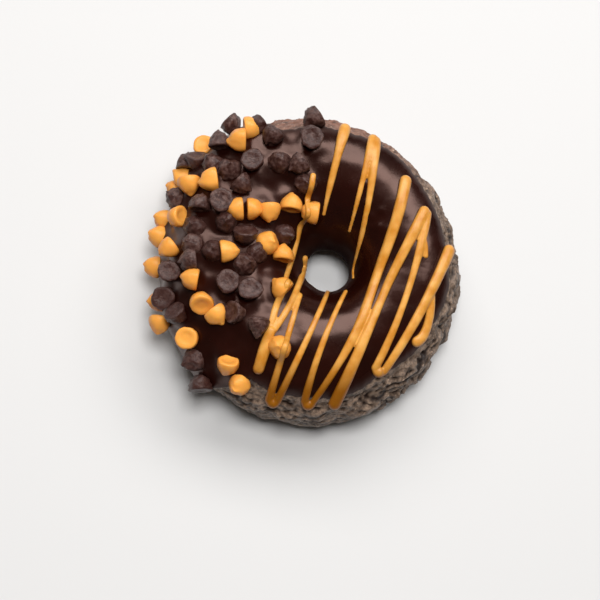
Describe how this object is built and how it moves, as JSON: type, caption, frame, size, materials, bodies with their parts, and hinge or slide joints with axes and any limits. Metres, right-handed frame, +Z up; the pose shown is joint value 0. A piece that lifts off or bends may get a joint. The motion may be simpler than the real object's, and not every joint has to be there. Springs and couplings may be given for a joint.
{
  "type": "iced ring doughnut",
  "caption": "Baked chocolate ring doughnut with smooth chocolate icing, chocolate and peanut butter chips crowded on its left side and a zigzag peanut butter drizzle on its right.",
  "frame": {"origin": "centre, in plan, of the box round the doughnut and its chips, at the height of the face it rests on", "axes": "+Z up out of the iced top; -X towards the side crowded with chips; +X towards the side with the drizzle"},
  "size_m": [0.0921, 0.091, 0.0349],
  "materials": {
    "chocolate_cake": "baked dark chocolate crumb, rough and craggy",
    "chocolate_icing": "set dark chocolate icing with a soft gloss, under chips and a drizzle"
  },
  "bodies": {
    "root": {"chocolate_cake_ring": "chocolate_cake", "icing_chips_and_drizzle": "chocolate_icing"}
  },
  "joints": []
}
